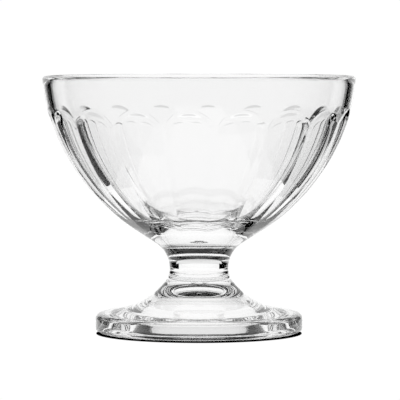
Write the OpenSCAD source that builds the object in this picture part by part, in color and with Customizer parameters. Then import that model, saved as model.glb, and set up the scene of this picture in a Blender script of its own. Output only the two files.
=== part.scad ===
// Footed dessert glass: a clear pressed-glass bowl with a plain rim band over a ring of
// arch-topped flutes, carried on a short solid stem and a broad foot that is hollow below.
// The three pieces are fused hot on two flat discs. Millimetres, +Z up, and the origin is
// the centre of the ring that the glass stands on.

/* [Rim and wall] */
// Outside diameter at the rim
rim_d = 106; // [98:1:116]
// Thickness of the bowl's wall at the rim
wall = 2.5; // [2.2:0.1:3.2]
// Distance between the centres of the inside and outside curves, which thickens the wall downwards
wall_gain = 2.6; // [1:0.1:5]
// Lean of the wall at the rim, in degrees from upright
rim_draft = 4.5; // [3.5:0.5:6]

/* [Bowl] */
// Height of the bowl from its seat on the stem to the rim
bowl_h = 62; // [58:0.5:68]
// Extra lean of the bowl's underside over the straight line from waist to rim, in degrees
base_lean = 24; // [20:0.5:27]
// Glass between the bowl's seat and its inside floor
floor_t = 13.5; // [11:0.5:15]
// Radius of the inside floor's shallow dish
floor_dish_r = 180; // [120:5:240]
// Radius between the inside floor and the wall
floor_fillet_r = 5; // [3:0.5:9]

/* [Flutes] */
// Number of flutes round the bowl
flute_count = 18; // [17:1:20]
// Turn of the first flute from +X, in degrees
flute_turn = 6.3; // [0:0.1:20]
// Depth of a flute below the band at its top
flute_depth = 0.95; // [0.9:0.05:1.3]
// Width of the ridge left between two flutes at their tops
ridge_w = 1; // [0.8:0.1:2]
// Extra radius of the curve that a flute's floor follows, over the bowl's own
flute_sweep_gain = 8.4; // [6:0.2:11]
// Distance from the rim down to the crest of a flute's floor
flute_drop = 13.2; // [12:0.1:16]
// Diameter at which the flutes run out under the bowl
flute_end_d = 44; // [42:1:48]
// Radius of the arched shoulder that closes a flute at its top
arch_r = 32; // [26:1:40]
// How much flatter that shoulder is than the line down the flute, in degrees
arch_lean = 2; // [1:0.5:8]

/* [Stem] */
// Diameter at the waist
waist_d = 19.9; // [17:0.1:23]
// Straight length of the waist
waist_h = 0.4; // [0.2:0.1:4]
// Radius of the curve from the waist up into the bowl
waist_up_r = 10; // [8:0.5:12]
// Radius of the curve from the waist down into the foot
waist_down_r = 7; // [6:0.5:9]
// Height of the stem above its waist
stem_above = 3.2; // [2:0.1:4.5]
// Height of the stem below its waist
stem_below = 2.6; // [1.5:0.1:3.5]

/* [Foot] */
// Outside diameter of the foot
foot_d = 70.2; // [66:0.2:78]
// Height of the foot from the table to the stem's seat
foot_h = 18.8; // [17:0.2:21]
// Height of the foot's upright edge
edge_h = 4.6; // [3.5:0.1:6]
// Radius over the foot's upper edge
edge_top_r = 2; // [1:0.1:2.5]
// Radius under the foot's lower edge
edge_low_r = 1.5; // [0.8:0.1:2]
// Slope of the foot's brim, in degrees from level
brim_slope = 12.6; // [9:0.2:15]
// Diameter at which the flare meets the brim
flare_d = 45.6; // [42:0.2:50]
// Slope at which the flare leaves the waist's curve, in degrees from upright
flare_angle = 40; // [34:1:46]

/* [Hollow under the foot] */
// Width of the ring that the glass stands on
ring_w = 3.5; // [2:0.1:5]
// Lift of the underside inside that ring
recess_h = 0.8; // [0.4:0.1:1.4]
// Diameter of the hollow at its mouth
hollow_d = 45.6; // [40:0.2:50]
// Height of the hollow's crown above the table
hollow_h = 14.5; // [11:0.1:15.5]

/* [Hidden] */
$fn = 180;
// Overrun of cutting shapes past the glass
over = 5;
// Small lap where outlines join, so that no sliver is left between them
lap = 0.01;

// Levels, from the table up
stem_h = stem_above + waist_h + stem_below;
seat_z = foot_h + stem_h;
total_h = seat_z + bowl_h;
waist_low_z = foot_h + stem_below;
waist_top_z = waist_low_z + waist_h;

// A point at a radius and a downward angle from a centre
function below(centre, radius, angle) = centre + radius * [cos(angle), -sin(angle)];
// The same on the other side of the centre
function inward(centre, radius, angle) = centre - radius * [cos(angle), sin(angle)];
// Centre, towards the bowl, of the circle of a radius through two points
function arc_centre(p, q, radius) =
    let (chord = q - p, half = norm(chord) / 2, rise = sqrt(radius * radius - half * half))
    (p + q) / 2 + rise * [chord[1], -chord[0]] / norm(chord);

// Bowl outside: one arc from the rim, then a straight slope, then the waist's curve
rim_r = rim_d / 2;
waist_r = waist_d / 2;
lip_r = wall / 2;
rim_top_z = total_h - lip_r * (1 + sin(rim_draft));
base_angle = atan2(rim_r - waist_r, total_h - waist_top_z) + base_lean;
slope_run = rim_r - lip_r * (1 - cos(rim_draft)) - waist_r - waist_up_r * (1 - cos(base_angle));
slope_rise = rim_top_z - waist_top_z - waist_up_r * sin(base_angle);
bowl_r = (slope_rise * sin(base_angle) - slope_run * cos(base_angle))
    / (1 - cos(base_angle - rim_draft));
mid_r = bowl_r - lip_r;
bowl_c = [
    rim_r - lip_r - mid_r * cos(rim_draft),
    total_h - lip_r + mid_r * sin(rim_draft)
];
lip_c = below(bowl_c, mid_r, rim_draft);
waist_up_c = [waist_r + waist_up_r, waist_top_z];
slope_top = below(bowl_c, bowl_r, base_angle);
slope_end = waist_up_c + waist_up_r * [-cos(base_angle), sin(base_angle)];
slope_lap = lap * [cos(base_angle), -sin(base_angle)];

// Bowl inside: an arc that keeps the wall, and a dished floor
floor_z = seat_z + floor_t;
inner_r = bowl_r - wall - wall_gain;
inner_c = below(bowl_c, wall_gain, rim_draft);
dish_c = [0, floor_z + floor_dish_r];
fillet_c = let (
    gap = dish_c - inner_c,
    a = inner_r - floor_fillet_r,
    b = floor_dish_r - floor_fillet_r,
    along = (a * a - b * b + gap * gap) / (2 * norm(gap)),
    across = sqrt(a * a - along * along),
    unit = gap / norm(gap)
) inner_c + along * unit + across * [unit[1], -unit[0]];
fillet_out = (fillet_c - inner_c) / norm(fillet_c - inner_c);
fillet_down = (fillet_c - dish_c) / norm(fillet_c - dish_c);

// Flutes
pitch = 360 / flute_count;
crest_z = total_h - flute_drop;
band_r = bowl_c[0] + sqrt(bowl_r * bowl_r - pow(bowl_c[1] - crest_z, 2));
crest_r = band_r - flute_depth;
crest = [crest_r, crest_z];
// Half the width of a flute at its top, and the round tool that cuts that width at that depth
flute_half = band_r * sin(pitch / 2) - ridge_w / 2;
flute_r = 1 / (2 * flute_depth / (flute_half * flute_half) - 1 / band_r);
// Where a flute's floor meets the bowl's underside again, on its arc or on its slope
run_out_r = flute_end_d / 2;
run_out_z = run_out_r > slope_top[0]
    ? bowl_c[1] - sqrt(bowl_r * bowl_r - pow(run_out_r - bowl_c[0], 2))
    : slope_top[1] - (slope_top[0] - run_out_r) / tan(base_angle);
run_out = [run_out_r, run_out_z];
arch_slope = atan2(crest_z - run_out_z, crest_r - run_out_r) - arch_lean;
flute_sweep_r = bowl_r + flute_sweep_gain;
sweep_c = arc_centre(crest, run_out, flute_sweep_r);
sweep_top = asin((sweep_c[1] - crest_z) / flute_sweep_r);
sweep_end = asin((sweep_c[1] - run_out[1]) / flute_sweep_r);
sweep_over = 3;
arch_reach = crest_r;

// Foot outside: the waist's curve, a flare, a brim and a rounded upright edge
foot_r = foot_d / 2;
flare_r = flare_d / 2;
waist_down_c = [waist_r + waist_down_r, waist_low_z];
flare_top = inward(waist_down_c, waist_down_r, flare_angle);
edge_top_c = [foot_r - edge_top_r, edge_h];
brim_end = edge_top_c + edge_top_r * [sin(brim_slope), cos(brim_slope)];
flare_end = [flare_r, brim_end[1] + (brim_end[0] - flare_r) * tan(brim_slope)];
flare_span = flare_end - flare_top;
flare_arc_r = flare_span * flare_span
    / (2 * flare_span * [cos(flare_angle), sin(flare_angle)]);
flare_c = flare_top + flare_arc_r * [cos(flare_angle), sin(flare_angle)];

// Foot underside: a flat ring, a shallow recess and a domed hollow
ring_in_r = foot_r - edge_low_r - ring_w;
hollow_r = hollow_d / 2;
dome_h = hollow_h - recess_h;
dome_r = (hollow_r * hollow_r + dome_h * dome_h) / (2 * dome_h);

// Everything on the glass side of the axis, for trimming outlines that cross it
module right_half() {
    translate([0, -bowl_r]) square([rim_d, total_h + 2 * bowl_r + over]);
}

// Outline of the bowl's outside, filled to the axis
module bowl_outline() {
    intersection() {
        translate(bowl_c) circle(bowl_r);
        polygon([
            [0, slope_end[1]],
            [rim_d, slope_end[1]],
            below(bowl_c, bowl_r + rim_d, rim_draft),
            [0, bowl_c[1] + bowl_c[0] * tan(rim_draft)]
        ]);
    }
    difference() {
        polygon([
            [0, seat_z],
            [waist_up_c[0], seat_z],
            slope_end + slope_lap,
            slope_top - slope_lap,
            [0, slope_top[1]]
        ]);
        translate(waist_up_c) circle(waist_up_r);
    }
}

// Outline of the space inside the bowl
module well_outline() {
    intersection() {
        right_half();
        union() {
            difference() {
                intersection() {
                    translate(inner_c) circle(inner_r);
                    translate(dish_c) circle(floor_dish_r);
                }
                polygon([
                    fillet_c,
                    fillet_c + 2 * floor_fillet_r * fillet_out,
                    fillet_c + 3 * floor_fillet_r * (fillet_out + fillet_down),
                    fillet_c + 2 * floor_fillet_r * fillet_down
                ]);
            }
            translate(fillet_c) circle(floor_fillet_r + lap);
        }
    }
}

// One flute's cutter: a round tool swept down the bowl, stopped by an arched shoulder
module flute_cutter() {
    intersection() {
        translate([sweep_c[0], 0, sweep_c[1]])
            rotate([90, sweep_end + sweep_over, 0])
                rotate_extrude(angle = sweep_end - sweep_top + 2 * sweep_over)
                    translate([flute_sweep_r + flute_r, 0]) circle(flute_r);
        translate([crest_r, 0, crest_z])
            rotate([0, 90 - arch_slope, 0])
                translate([arch_r, 0, -arch_reach])
                    cylinder(h = 2 * arch_reach, r = arch_r);
    }
}

module bowl() {
    color("azure", 0.35)
        difference() {
            rotate_extrude()
                union() {
                    difference() {
                        bowl_outline();
                        well_outline();
                    }
                    translate(lip_c) circle(lip_r + lap);
                }
            for (i = [0:flute_count - 1])
                rotate([0, 0, flute_turn + i * pitch]) flute_cutter();
        }
}

module stem() {
    color("lightcyan", 0.35)
        rotate_extrude()
            difference() {
                translate([0, foot_h]) square([waist_r + waist_down_r, stem_h]);
                translate(waist_up_c) circle(waist_up_r);
                translate(waist_down_c) circle(waist_down_r);
                translate([waist_r, waist_low_z]) square([waist_up_r, waist_h]);
            }
}

// Outline of the foot's outside, filled to the axis and the table
module foot_outline() {
    difference() {
        translate([0, flare_top[1]])
            square([waist_down_c[0], foot_h - flare_top[1]]);
        translate(waist_down_c) circle(waist_down_r);
    }
    difference() {
        polygon([
            [0, 0],
            [foot_r - edge_low_r, 0],
            [foot_r, edge_low_r],
            [foot_r, edge_h],
            brim_end,
            flare_end,
            flare_top,
            [0, flare_top[1]]
        ]);
        translate(flare_c) circle(flare_arc_r);
    }
    translate(edge_top_c) circle(edge_top_r);
    translate([foot_r - edge_low_r, edge_low_r]) circle(edge_low_r);
}

// Outline of the space under the foot
module hollow_outline() {
    polygon([
        [0, -over],
        [ring_in_r, -over],
        [ring_in_r, 0],
        [ring_in_r - recess_h, recess_h],
        [0, recess_h]
    ]);
    intersection() {
        translate([0, hollow_h - dome_r]) circle(dome_r);
        square([hollow_r, hollow_h]);
    }
}

module foot() {
    color("lightblue", 0.35)
        rotate_extrude()
            difference() {
                foot_outline();
                hollow_outline();
            }
}

bowl();
stem();
foot();
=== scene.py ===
# %% [markdown]
# # A footed dessert glass in pressed glass
# The glass in the photograph is a low, wide bowl with a plain band under its rim and a ring of
# arch-topped flutes below the band. It stands on a short solid stem and a broad foot that is
# hollow underneath. We build the whole glass as one clean skin of mesh, give it the optics of
# real glass, and light it as a product photographer lights clear glass.

import math

import bpy
import numpy as np
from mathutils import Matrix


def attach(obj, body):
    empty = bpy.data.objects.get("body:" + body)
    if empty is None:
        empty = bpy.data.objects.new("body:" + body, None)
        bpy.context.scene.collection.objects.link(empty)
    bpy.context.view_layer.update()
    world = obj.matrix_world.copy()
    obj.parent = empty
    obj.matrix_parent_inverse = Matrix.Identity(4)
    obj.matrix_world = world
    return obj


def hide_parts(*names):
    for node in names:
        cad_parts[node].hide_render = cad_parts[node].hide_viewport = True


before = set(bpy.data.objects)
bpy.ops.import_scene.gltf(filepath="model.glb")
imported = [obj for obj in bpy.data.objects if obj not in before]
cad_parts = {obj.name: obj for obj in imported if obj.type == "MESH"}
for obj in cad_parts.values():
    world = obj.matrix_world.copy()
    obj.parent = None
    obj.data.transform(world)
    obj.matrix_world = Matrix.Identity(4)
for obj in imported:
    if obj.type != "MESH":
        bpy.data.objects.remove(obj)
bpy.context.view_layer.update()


# %% [markdown]
# ## Two kinds of helper
# Glassware is turned, so its outline is nothing but arcs and lines in one plane: how far out
# from the axis, and how high. The helpers below make points along those arcs and lines in
# millimetres, and we turn millimetres into Blender's metres only once, at the very end. Wide
# arcs need few points, bends need more, and lips and edges need the most.

# %% Helpers for outlines
MM = 0.001
WIDE_STEP, ROUND_STEP, BEND_STEP, FINE_STEP = 2.0, 1.2, 0.8, 0.3


def sin(degrees):
    return math.sin(math.radians(degrees))


def cos(degrees):
    return math.cos(math.radians(degrees))


def tan(degrees):
    return math.tan(math.radians(degrees))


def point(centre, radius, angle):
    """The point at an angle, in degrees from straight out, on a circle."""
    return np.array([centre[0] + radius * cos(angle), centre[1] + radius * sin(angle)])


def heading(centre, p):
    """The angle, in degrees from straight out, at which a centre sees a point."""
    return math.degrees(math.atan2(p[1] - centre[1], p[0] - centre[0]))


def arc(centre, radius, start, end, step):
    """Points along an arc, both ends included, about a step apart."""
    count = max(2, round(abs(math.radians(end - start)) * radius / step))
    return [point(centre, radius, start + (end - start) * i / count) for i in range(count + 1)]


def line(p, q, step):
    """Points along a straight line, both ends included, about a step apart."""
    p, q = np.array(p), np.array(q)
    count = max(1, round(np.linalg.norm(q - p) / step))
    return [p + (q - p) * i / count for i in range(count + 1)]


def joined(*runs):
    """Runs of points one after the other, with each shared point kept once."""
    out = []
    for p in (p for run in runs for p in run):
        if not out or np.linalg.norm(out[-1] - p) > 1e-6:
            out.append(p)
    return np.array(out)


# %% [markdown]
# ## The camera
# The photograph was taken from a little above the rim and with a long lens, so the rim shows
# as a very thin ellipse. The lens was found from how much the far side of the glass shrinks,
# and the tilt from where the foot's lower edge curves. Blender's sensor is 36 mm wide, so a
# focal length in pixels turns into millimetres by the same proportion.

# %% Camera
PHOTO_W, LENS_PX, SENSOR_W = 400, 3093, 36
EYE_SIDE, EYE_DISTANCE, EYE_H, EYE_TILT = 0.34, 1047.5, 99.5, 2.99
SEEN_FROM, SEEN_TO = 0.05, 20

lens = bpy.data.cameras.new("camera")
lens.sensor_width = SENSOR_W
lens.lens = SENSOR_W * LENS_PX / PHOTO_W
lens.clip_start, lens.clip_end = SEEN_FROM, SEEN_TO
camera = bpy.data.objects.new("camera", lens)
bpy.context.scene.collection.objects.link(camera)
camera.location = (EYE_SIDE * MM, -EYE_DISTANCE * MM, EYE_H * MM)
camera.rotation_euler = (math.radians(90 - EYE_TILT), 0, 0)
bpy.context.scene.camera = camera
print("lens, mm:", round(lens.lens, 1))


# %% [markdown]
# ## The outside of the bowl
# On the real glass the outside is one big arc from the rim down to a straight slope, which
# flows into the waist of the stem through a small cove. A press mould has no undercuts, so
# every part of the outline leans outward on the way up. Writing the arc from its ends, and
# not from a guessed radius, keeps it tangent to the rim and the slope whatever size changes.

# %% Outside of the bowl
RIM_D, WALL, RIM_DRAFT = 106, 2.5, 4.5
BOWL_H, BASE_LEAN = 62, 24
WAIST_D, WAIST_H, WAIST_UP_R, WAIST_DOWN_R = 19.9, 0.4, 10, 7
STEM_ABOVE, STEM_BELOW, FOOT_H = 3.2, 2.6, 18.8

waist_low_z = FOOT_H + STEM_BELOW
waist_top_z = waist_low_z + WAIST_H
seat_z = waist_top_z + STEM_ABOVE
total_h = seat_z + BOWL_H
rim_r, waist_r, lip_r = RIM_D / 2, WAIST_D / 2, WALL / 2
base_angle = math.degrees(math.atan2(rim_r - waist_r, total_h - waist_top_z)) + BASE_LEAN
run = rim_r - lip_r * (1 - cos(RIM_DRAFT)) - waist_r - WAIST_UP_R * (1 - cos(base_angle))
rise = total_h - lip_r * (1 + sin(RIM_DRAFT)) - waist_top_z - WAIST_UP_R * sin(base_angle)
bowl_r = (rise * sin(base_angle) - run * cos(base_angle)) / (1 - cos(base_angle - RIM_DRAFT))
mid_r = bowl_r - lip_r
bowl_c = np.array([rim_r - lip_r - mid_r * cos(RIM_DRAFT), total_h - lip_r + mid_r * sin(RIM_DRAFT)])
lip_c = point(bowl_c, mid_r, -RIM_DRAFT)
waist_up_c = np.array([waist_r + WAIST_UP_R, waist_top_z])
slope_top = point(bowl_c, bowl_r, -base_angle)
slope_low = point(waist_up_c, WAIST_UP_R, 180 - base_angle)
print("bowl's arc, mm:", round(bowl_r, 2), "height, mm:", total_h)


# %% [markdown]
# ## The inside of the bowl
# The plunger of the press gives the inside: a plain arc, a small fillet and a slightly dished
# floor. Its centre is shifted sideways from the outer arc's, so the wall is thin at the rim
# and grows towards the thick base, where a pressed glass keeps its heat and its weight. That
# uneven wall is what bends light most, so it is worth as much care as the outside.

# %% Inside of the bowl
WALL_GAIN, FLOOR_T, FLOOR_DISH_R, FLOOR_FILLET_R = 2.6, 13.5, 180, 5

floor_z = seat_z + FLOOR_T
inner_r = bowl_r - WALL - WALL_GAIN
inner_c = bowl_c + WALL_GAIN * np.array([cos(RIM_DRAFT), -sin(RIM_DRAFT)])
dish_c = np.array([0, floor_z + FLOOR_DISH_R])
gap = dish_c - inner_c
span = np.linalg.norm(gap)
near, far = inner_r - FLOOR_FILLET_R, FLOOR_DISH_R - FLOOR_FILLET_R
along = (near**2 - far**2 + span**2) / (2 * span)
aside = np.array([gap[1], -gap[0]]) / span
fillet_c = inner_c + along * gap / span + math.sqrt(near**2 - along**2) * aside
fillet_out, fillet_down = heading(inner_c, fillet_c), heading(dish_c, fillet_c)
inside = joined(
    arc(dish_c, FLOOR_DISH_R, -90, fillet_down, ROUND_STEP),
    arc(fillet_c, FLOOR_FILLET_R, fillet_down, fillet_out, BEND_STEP),
    arc(inner_c, inner_r, fillet_out, -RIM_DRAFT, WIDE_STEP),
    arc(lip_c, lip_r, 180 - RIM_DRAFT, -RIM_DRAFT, FINE_STEP),
)
print("inside, points:", len(inside), "glass under the middle, mm:", FLOOR_T)


# %% [markdown]
# ## The foot and the hollow under it
# The foot flares out of the waist into a shallow brim with a thick rounded edge. Underneath
# it stands on a narrow flat ring, because a ring never rocks as a full disc would, and a
# domed hollow keeps the glass even in thickness so that it cools without cracking. From the
# side the dome shows only as the dark, eye-shaped figures under the waist, and its size was
# chosen by how well a render repeats them.

# %% Outline of the foot
FOOT_D, EDGE_H, EDGE_TOP_R, EDGE_LOW_R, BRIM_SLOPE = 70.2, 4.6, 2.0, 1.5, 12.6
FLARE_D, FLARE_ANGLE = 45.6, 40
RING_W, RECESS_H, HOLLOW_D, HOLLOW_H = 3.5, 0.8, 45.6, 14.5

foot_r, flare_r, hollow_r = FOOT_D / 2, FLARE_D / 2, HOLLOW_D / 2
ring_out_r = foot_r - EDGE_LOW_R
ring_in_r = ring_out_r - RING_W
waist_down_c = np.array([waist_r + WAIST_DOWN_R, waist_low_z])
flare_top = point(waist_down_c, WAIST_DOWN_R, 180 + FLARE_ANGLE)
edge_top_c = np.array([foot_r - EDGE_TOP_R, EDGE_H])
brim_end = point(edge_top_c, EDGE_TOP_R, 90 - BRIM_SLOPE)
flare_end = np.array([flare_r, brim_end[1] + (brim_end[0] - flare_r) * tan(BRIM_SLOPE)])
flare_way = flare_end - flare_top
toward = np.array([cos(FLARE_ANGLE), sin(FLARE_ANGLE)])
flare_arc_r = flare_way @ flare_way / (2 * flare_way @ toward)
flare_c = flare_top + flare_arc_r * toward
dome_h = HOLLOW_H - RECESS_H
dome_r = (hollow_r**2 + dome_h**2) / (2 * dome_h)
dome_c = np.array([0, HOLLOW_H - dome_r])
dome_edge = np.array([hollow_r, RECESS_H])
stand = [[ring_out_r, 0], [ring_in_r, 0], [ring_in_r - RECESS_H, RECESS_H], dome_edge]
foot = joined(
    arc(waist_up_c, WAIST_UP_R, 180 - base_angle, 180, BEND_STEP),
    arc(waist_down_c, WAIST_DOWN_R, 180, 180 + FLARE_ANGLE, BEND_STEP),
    arc(flare_c, flare_arc_r, 180 + FLARE_ANGLE, heading(flare_c, flare_end) % 360, WIDE_STEP),
    line(flare_end, brim_end, BEND_STEP),
    arc(edge_top_c, EDGE_TOP_R, 90 - BRIM_SLOPE, 0, FINE_STEP),
    arc([ring_out_r, EDGE_LOW_R], EDGE_LOW_R, 0, -90, FINE_STEP),
    *[line(p, q, BEND_STEP) for p, q in zip(stand[:-1], stand[1:])],
    arc(dome_c, dome_r, heading(dome_c, dome_edge), 90, ROUND_STEP),
)
print("flare's arc, mm:", round(flare_arc_r, 2), "dome's arc, mm:", round(dome_r, 2))


# %% [markdown]
# ## Fire-polished corners
# After pressing, a flame licks over the glass and its skin flows for a moment, so no corner
# stays sharp. We copy that by running a soft average along the foot's outline: flat stretches
# and wide arcs hardly move, and each corner gets a radius of about the flame's reach.

# %% Soften the foot's corners
POLISH_R, POLISH_STEP, POLISH_REACH = 0.3, 0.05, 3


def polished(points):
    """The same outline with its corners flowed round, and as many points as before."""
    steps = np.linalg.norm(np.diff(points, axis=0), axis=1)
    length = np.concatenate([[0], np.cumsum(steps)])
    even = np.arange(0, length[-1], POLISH_STEP)
    fine = np.stack([np.interp(even, length, points[:, i]) for i in (0, 1)], 1)
    reach = int(POLISH_REACH * POLISH_R / POLISH_STEP)
    weight = np.exp(-0.5 * (np.arange(-reach, reach + 1) * POLISH_STEP / POLISH_R) ** 2)
    weight /= weight.sum()
    before, after = 2 * fine[0] - fine[reach:0:-1], 2 * fine[-1] - fine[-2:-reach - 2:-1]
    padded = np.concatenate([before, fine, after])
    smooth = np.stack([np.convolve(padded[:, i], weight, "valid") for i in (0, 1)], 1)
    return np.stack([np.interp(length, even, smooth[:, i]) for i in (0, 1)], 1)


foot = polished(foot)
foot[0] = slope_low
foot[-1, 0] = 0
print("foot, points:", len(foot), "lowest, mm:", foot[:, 1].min().round(3))


# %% [markdown]
# ## The flutes
# The flutes are the feature that takes the most skill. In the mould each one is a shallow
# groove, ground by a round tool that follows a long curve down the bowl, and a second round
# cut slopes up and out at its top, which leaves the arch. Carving them with Boolean cuts in
# Blender would leave thin, messy triangles, and glass shows every one of them as a glint. So
# we describe the tool as a distance instead: positive where glass is left, negative where
# the tool has been. The surface is then where the distance is nought.

# %% The tool that grinds a flute
FLUTES, FLUTE_TURN = 18, 6.3
FLUTE_DEPTH, RIDGE_W, SWEEP_GAIN = 0.95, 1.0, 8.4
FLUTE_DROP, FLUTE_END_D = 13.2, 44
ARCH_R, ARCH_LEAN = 32, 2

pitch = 360 / FLUTES
crest_z = total_h - FLUTE_DROP
band_r = bowl_c[0] + math.sqrt(bowl_r**2 - (bowl_c[1] - crest_z) ** 2)
crest = np.array([band_r - FLUTE_DEPTH, crest_z])
flute_half = band_r * sin(pitch / 2) - RIDGE_W / 2
flute_r = 1 / (2 * FLUTE_DEPTH / flute_half**2 - 1 / band_r)
sweep_r = bowl_r + SWEEP_GAIN
end_r = FLUTE_END_D / 2
if end_r > slope_top[0]:
    end_z = bowl_c[1] - math.sqrt(bowl_r**2 - (end_r - bowl_c[0]) ** 2)
else:
    end_z = slope_top[1] - (slope_top[0] - end_r) / tan(base_angle)
chord = np.array([end_r, end_z]) - crest
half = np.linalg.norm(chord) / 2
lift = math.sqrt(sweep_r**2 - half**2)
sweep_c = crest + chord / 2 + lift * np.array([chord[1], -chord[0]]) / (2 * half)
arch_slope = math.degrees(math.atan2(-chord[1], -chord[0])) - ARCH_LEAN
print("flute's arc, mm:", round(flute_r, 1), "arch's slope, degrees:", round(arch_slope, 1))


# %% [markdown]
# ## The tool as a distance
# Two distances make the tool: one from its long groove and one from the sloping cut that ends
# it. The larger of the two is their overlap, and a soft larger, which eases from one to the
# other over a fraction of a millimetre, rounds the arch as the flame does. A plain larger
# would leave a knife edge there, which real pressed glass never has.

# %% Distances with rounded corners
RIDGE_SOFT, SHOULDER_SOFT = 0.3, 0.7


def soft_max(a, b, k):
    """The larger of two distances, with the corner between them rounded over k mm."""
    h = np.maximum(k - np.abs(a - b), 0) / k
    return np.maximum(a, b) + h * h * k / 4


def tool(r, z, turn):
    """Distance from one flute's tool, at a radius, a height and a turn from its middle."""
    x, y = r * np.cos(turn), r * np.sin(turn)
    track = np.hypot(x - sweep_c[0], z - sweep_c[1]) - (sweep_r + flute_r)
    groove = np.hypot(track, y) - flute_r
    side = (x - crest[0]) * sin(arch_slope) - (z - crest[1]) * cos(arch_slope) - ARCH_R
    shoulder = np.hypot(side, y) - ARCH_R
    return soft_max(groove, shoulder, SHOULDER_SOFT)


def glass(r, z, turn, depth):
    """Below nought in the glass: the plain bowl, less what three neighbouring tools take."""
    step = math.radians(pitch)
    cut = np.minimum.reduce([tool(r, z, turn + i * step) for i in (-1, 0, 1)])
    return soft_max(-depth, -cut, RIDGE_SOFT)


# %% [markdown]
# ## From distance to surface
# We start on the plain bowl and walk inward along its normal at every point of a grid, halving
# the interval thirty times until the surface is found. One flute is enough: the others are
# copies, turned. The grid's columns crowd together at the ridges, where the surface turns
# fastest, and its rows crowd together at the arches, so that a light mesh still looks smooth.

# %% Find the fluted surface
PER_FLUTE, EVEN_SHARE, CLOSE = 24, 0.4, 6
DEEPEST, HALVINGS = 3.4, 30

crest_a = heading(bowl_c, [band_r, crest_z])
outside = joined(
    arc(bowl_c, bowl_r, -RIM_DRAFT, crest_a + CLOSE, WIDE_STEP),
    arc(bowl_c, bowl_r, crest_a + CLOSE, crest_a - CLOSE, FINE_STEP),
    arc(bowl_c, bowl_r, crest_a - CLOSE, -base_angle, WIDE_STEP),
    line(slope_top, slope_low, WIDE_STEP),
)
even = np.linspace(-1, 1, PER_FLUTE, endpoint=False)
crowded = EVEN_SHARE * even + (1 - EVEN_SHARE) * np.sin(math.pi / 2 * even)
turn = math.radians(pitch / 2) * crowded
ahead = np.gradient(outside, axis=0)
normal = np.stack([-ahead[:, 1], ahead[:, 0]], 1)
normal /= np.linalg.norm(normal, axis=1)[:, None]
start_r, turns = np.meshgrid(outside[:, 0], turn, indexing="ij")
start_z = np.repeat(outside[:, 1:], PER_FLUTE, 1)
low, high = np.zeros_like(start_r), np.full_like(start_r, DEEPEST)
for _ in range(HALVINGS):
    mid = (low + high) / 2
    r, z = start_r - mid * normal[:, :1], start_z - mid * normal[:, 1:]
    solid = glass(r, z, turns, mid) < 0
    high, low = np.where(solid, mid, high), np.where(solid, low, mid)
fluted_r, fluted_z = start_r - high * normal[:, :1], start_z - high * normal[:, 1:]
print("flutes:", FLUTES, "deepest, mm:", high.max().round(2))


# %% [markdown]
# ## One closed skin
# Rays bend each time they cross a surface, so the bowl, stem and foot must be one closed
# skin: a hidden face between them would bend light where the real glass is whole. The rows
# run from the middle of the bowl's floor, over the lip, down the outside and under the foot
# to the middle of the dome. Quads join the rows, and a fan of triangles closes each end. The
# piece stands for the three solids, whose shapes it follows.

# %% Build the skin
columns = FLUTES * PER_FLUTE
angle = np.concatenate([turn + math.radians(FLUTE_TURN + i * pitch) for i in range(FLUTES)])


def spun(points):
    """An outline's radius and height, repeated for every column."""
    return [np.repeat(points[:, i:i + 1], columns, 1) for i in (0, 1)]


fluted = [np.tile(a, (1, FLUTES))[1:] for a in (fluted_r, fluted_z)]
parts = [spun(inside[1:]), fluted, spun(foot[1:-1])]
radius, height = (np.concatenate([p[i] for p in parts]) for i in (0, 1))
ring_points = np.stack([radius * np.cos(angle), radius * np.sin(angle), height], -1)
ends = [[0, 0, inside[0, 1]], [0, 0, foot[-1, 1]]]
points = np.concatenate([ring_points.reshape(-1, 3), ends]) * MM
grid = np.arange(radius.size).reshape(radius.shape)
beside = np.roll(grid, -1, 1)
quads = np.stack([grid[1:], beside[1:], beside[:-1], grid[:-1]], -1).reshape(-1, 4)
first, last = radius.size, radius.size + 1
fans = [[first, b, a] for a, b in zip(grid[0], beside[0])]
fans += [[last, a, b] for a, b in zip(grid[-1], beside[-1])]

skin = bpy.data.meshes.new("dessert_glass")
skin.from_pydata(points.tolist(), [], quads.tolist() + fans)
skin.polygons.foreach_set("use_smooth", [True] * len(skin.polygons))
dessert_glass = bpy.data.objects.new("dessert_glass", skin)
bpy.context.scene.collection.objects.link(dessert_glass)
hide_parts("bowl", "stem", "foot")
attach(dessert_glass, "root")

# %% Check the skin
skin.calc_loop_triangles()
corners = points[np.array([t.vertices[:] for t in skin.loop_triangles])]
volume = np.einsum("ij,ij->i", corners[:, 0], np.cross(corners[:, 1], corners[:, 2])).sum() / 6
print("faces:", len(skin.polygons), "glass, cm3:", round(volume * 1e6, 2), "above 0 if outward")


# %% [markdown]
# ## The glass
# Table glass of this kind is soda-lime glass: clear, with a refractive index near 1.52, and
# so little iron that the tint is hardly seen. Its surface is fire-polished, so its roughness
# is nought, but it isn't as flat as float glass: the press leaves it with ripples nearly a
# centimetre wide and a few thousandths of a millimetre deep, which make the lines in it waver.
# A bump from noise at that scale does the same. The flat ring it stands on gets scuffed by
# tables and shelves, so there alone the roughness rises.

# %% Node helper and colours
def linear(hex_colour):
    """An sRGB hex colour as the linear values that Blender works in."""
    channels = [int(hex_colour[i:i + 2], 16) / 255 for i in (1, 3, 5)]
    return (*[c / 12.92 if c <= 0.04045 else ((c + 0.055) / 1.055) ** 2.4 for c in channels], 1)


def add(tree, kind, inputs=None, **settings):
    """Adds a node, sets its settings, and gives each input a value or a link."""
    made = tree.nodes.new(kind)
    for name, value in settings.items():
        setattr(made, name, value)
    for name, value in (inputs or {}).items():
        if isinstance(value, bpy.types.NodeSocket):
            tree.links.new(value, made.inputs[name])
        else:
            made.inputs[name].default_value = value
    return made


def material(name):
    """An empty node material, to be filled by add."""
    made = bpy.data.materials.new(name)
    made.use_nodes = True
    made.node_tree.nodes.clear()
    return made


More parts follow.
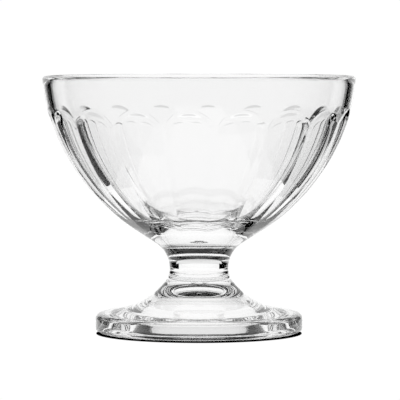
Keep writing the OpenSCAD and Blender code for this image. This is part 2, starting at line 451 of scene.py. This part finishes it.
# %% Pressed soda-lime glass, fire-polished
SODA_LIME_IOR = 1.52
RIPPLE_MM, RIPPLE_DEPTH_MM, RIPPLE_DETAIL, RIPPLE_ROUGHNESS = 9, 0.004, 1.0, 0.4
SCUFF_MM, SCUFF_H_MM, SCUFF_DETAIL, SCUFF_ROUGHNESS = 0.6, 0.15, 3.0, 0.3

pressed_glass = material("pressed_soda_lime_glass_fire_polished")
tree = pressed_glass.node_tree
place = add(tree, "ShaderNodeTexCoord").outputs["Object"]
ripple = add(tree, "ShaderNodeTexNoise", {
    "Vector": place, "Scale": 1 / (RIPPLE_MM * MM), "Detail": RIPPLE_DETAIL,
    "Roughness": RIPPLE_ROUGHNESS,
})
wavy = add(tree, "ShaderNodeBump", {
    "Height": ripple.outputs["Fac"], "Distance": RIPPLE_DEPTH_MM * MM, "Strength": 1.0,
})
level = add(tree, "ShaderNodeSeparateXYZ", {"Vector": place}).outputs["Z"]
on_ring = add(tree, "ShaderNodeMapRange", {
    "Value": level, "From Min": 0.0, "From Max": SCUFF_H_MM * MM, "To Min": 1.0, "To Max": 0.0,
})
scuffs = add(tree, "ShaderNodeTexNoise", {
    "Vector": place, "Scale": 1 / (SCUFF_MM * MM), "Detail": SCUFF_DETAIL,
})
worn = add(tree, "ShaderNodeMath", {
    0: on_ring.outputs["Result"], 1: scuffs.outputs["Fac"],
}, operation="MULTIPLY")
rough = add(tree, "ShaderNodeMath", {
    0: worn.outputs["Value"], 1: SCUFF_ROUGHNESS,
}, operation="MULTIPLY")
surface = add(tree, "ShaderNodeBsdfPrincipled", {
    "Base Color": linear("#FFFFFF"), "Roughness": rough.outputs["Value"],
    "IOR": SODA_LIME_IOR, "Transmission Weight": 1.0, "Normal": wavy.outputs["Normal"],
})
add(tree, "ShaderNodeOutputMaterial", {"Surface": surface.outputs["BSDF"]})
skin.materials.append(pressed_glass)
print("glass:", pressed_glass.name, "nodes:", len(tree.nodes))


# %% [markdown]
# ## The studio
# Clear glass has no colour of its own: all we see is what lies behind it, bent. So a
# photographer lights the background and not the glass. A white sweep fills just the frame,
# the room round it is dark, and every slanted part of the glass bends that darkness into
# view as the crisp dark lines that draw its shape. This is called bright-field lighting.
# Every part of the set is a flat sheet, either black or glowing evenly, because lamps would
# only add hot spots. Each is staged, which keeps it out of the glass's own model.

# %% Sheets of the studio
SWEEP_WHITE, TOP_GREY, FLOOR_GREY = 1.02, 0.8, 0.52


def glowing(name, strength):
    """A sheet lit evenly from behind, as an opal acrylic table is."""
    made = material(name)
    light = add(made.node_tree, "ShaderNodeEmission", {
        "Color": linear("#FFFFFF"), "Strength": strength,
    })
    add(made.node_tree, "ShaderNodeOutputMaterial", {"Surface": light.outputs["Emission"]})
    return made


def sheet(name, points, faces, finish):
    """A flat piece of the studio, which isn't part of the glass."""
    mesh = bpy.data.meshes.new(name)
    mesh.from_pydata(points, [], faces)
    mesh.materials.append(finish)
    made = bpy.data.objects.new(name, mesh)
    bpy.context.scene.collection.objects.link(made)
    return made


white = glowing("opal_acrylic_backlit", SWEEP_WHITE)
dim = glowing("opal_acrylic_at_its_dim_edge", TOP_GREY)
pale = glowing("pale_grey_floor", FLOOR_GREY)
# Black: velvet for the mats and cards, and also the painted contact shadow under the foot.
black = glowing("black_velvet_and_painted_shadow", 0.0)


# %% [markdown]
# ## What stands behind the glass
# The white sweep is just as wide as the picture beside the glass, and widens only behind it,
# where the glass hides nothing. The wall closes it at the back. Its top is dimmer, as a
# backlight is towards its edge, and that shades the arches and the foot's edge softly. The
# rest of the floor is pale grey. The sheets' places are in metres, and they lie in a stack a
# fraction of a millimetre apart, so that none of them cuts through another.

# %% Sweep and wall
BACK, FRONT, WALL_HALF, WALL_FOOT, WALL_MID, WALL_TOP = 1.6, -0.21, 1.35, -0.001, 0.34, 1.2
FRAME_NEAR, FRAME_FAR, FRAME_FAR_Y = 0.0565, 0.0735, 0.07
UNDER, FLOOR_REACH = 0.0002, 10

edge = [(FRAME_NEAR, FRONT), (FRAME_FAR, FRAME_FAR_Y), (WALL_HALF, BACK)]
left = [(-x, y, -UNDER) for x, y in edge]
right = [(x, y, -UNDER) for x, y in edge]
sheet("sweep", left + right, [(0, 3, 4, 1), (1, 4, 5, 2)], white)
for name, low_z, top_z, finish in (
    ("wall", WALL_FOOT, WALL_MID, white), ("wall_top", WALL_MID, WALL_TOP, dim),
):
    corners = [(x, BACK, z) for z in (low_z, top_z) for x in (-WALL_HALF, WALL_HALF)]
    sheet(name, corners, [(0, 1, 3, 2)], finish)
floor = [(x, y, -3 * UNDER) for y in (-FLOOR_REACH, BACK) for x in (-FLOOR_REACH, FLOOR_REACH)]
sheet("floor", floor, [(0, 1, 3, 2)], pale)


# %% [markdown]
# ## What stands beside the glass
# Black mats lie on both sides just out of the picture and darken the ridges of the flutes.
# Two black cards stand a little farther back and darken the rim band's ends. They are kept
# low, so that the glass can still be seen from every side. A thin black ring under the foot is
# painted shadow, standing for the shade where glass and table touch. It is shifted a little
# towards the camera, because the light comes from behind.

# %% Mats, cards and the contact shadow
MAT = [(0.0535, -0.06), (0.25, -0.06), (0.32, 0.2), (FRAME_FAR, FRAME_FAR_Y)]
CARD_NEAR, CARD_FAR, CARD_Y, CARD_H = 0.12, 0.25, 0.2, 0.075
SHADOW_OUT, SHADOW_FORWARD, SHADOW_POINTS = 1.2, 4, 96

for side, name in ((-1, "left"), (1, "right")):
    sheet("mat_" + name, [(side * x, y, -2 * UNDER) for x, y in MAT], [(0, 1, 2, 3)], black)
    card = [(CARD_NEAR, 0), (CARD_FAR, 0), (CARD_FAR, CARD_H), (CARD_NEAR, CARD_H)]
    sheet("card_" + name, [(side * x, CARD_Y, z) for x, z in card], [(0, 1, 2, 3)], black)
# Painted contact shadow: a black ring laid under the foot, shifted towards the camera.
around = np.linspace(0, 2 * math.pi, SHADOW_POINTS, endpoint=False)
shadow = [
    (r * MM * math.cos(a), (r * math.sin(a) - forward) * MM, -UNDER / 2)
    for r, forward in ((ring_in_r, 0), (ring_out_r + SHADOW_OUT, SHADOW_FORWARD)) for a in around
]
turned = [(i, (i + 1) % SHADOW_POINTS) for i in range(SHADOW_POINTS)]
bands = [(i, j, SHADOW_POINTS + j, SHADOW_POINTS + i) for i, j in turned]
sheet("contact_shadow", shadow, bands, black)
print("contact shadow, mm:", round(ring_in_r, 2), "to", round(ring_out_r + SHADOW_OUT, 2))


# %% [markdown]
# ## The dark room
# What the glass bends into view from above and from the camera's side has to be dark, so the
# room is nearly black. A ray crosses four or more surfaces on its way through a glass and
# bounces inside its thick base many times. If its path is cut short it comes out black, so it
# is allowed far more bounces than a scene without glass needs. The Standard view keeps white
# white, as the photograph does.

# %% Dark room and light paths
ROOM_DARK, GLASS_BOUNCES, GLOSS_BOUNCES = 0.003, 24, 12

room = bpy.data.worlds.new("dark_room")
room.use_nodes = True
room.node_tree.nodes["Background"].inputs["Color"].default_value = (ROOM_DARK,) * 3 + (1,)
scene = bpy.context.scene
scene.world = room
scene.view_settings.view_transform = "Standard"
scene.cycles.max_bounces = GLASS_BOUNCES
scene.cycles.transmission_bounces = GLASS_BOUNCES
scene.cycles.glossy_bounces = GLOSS_BOUNCES
print("a path may cross", scene.cycles.transmission_bounces, "glass surfaces")
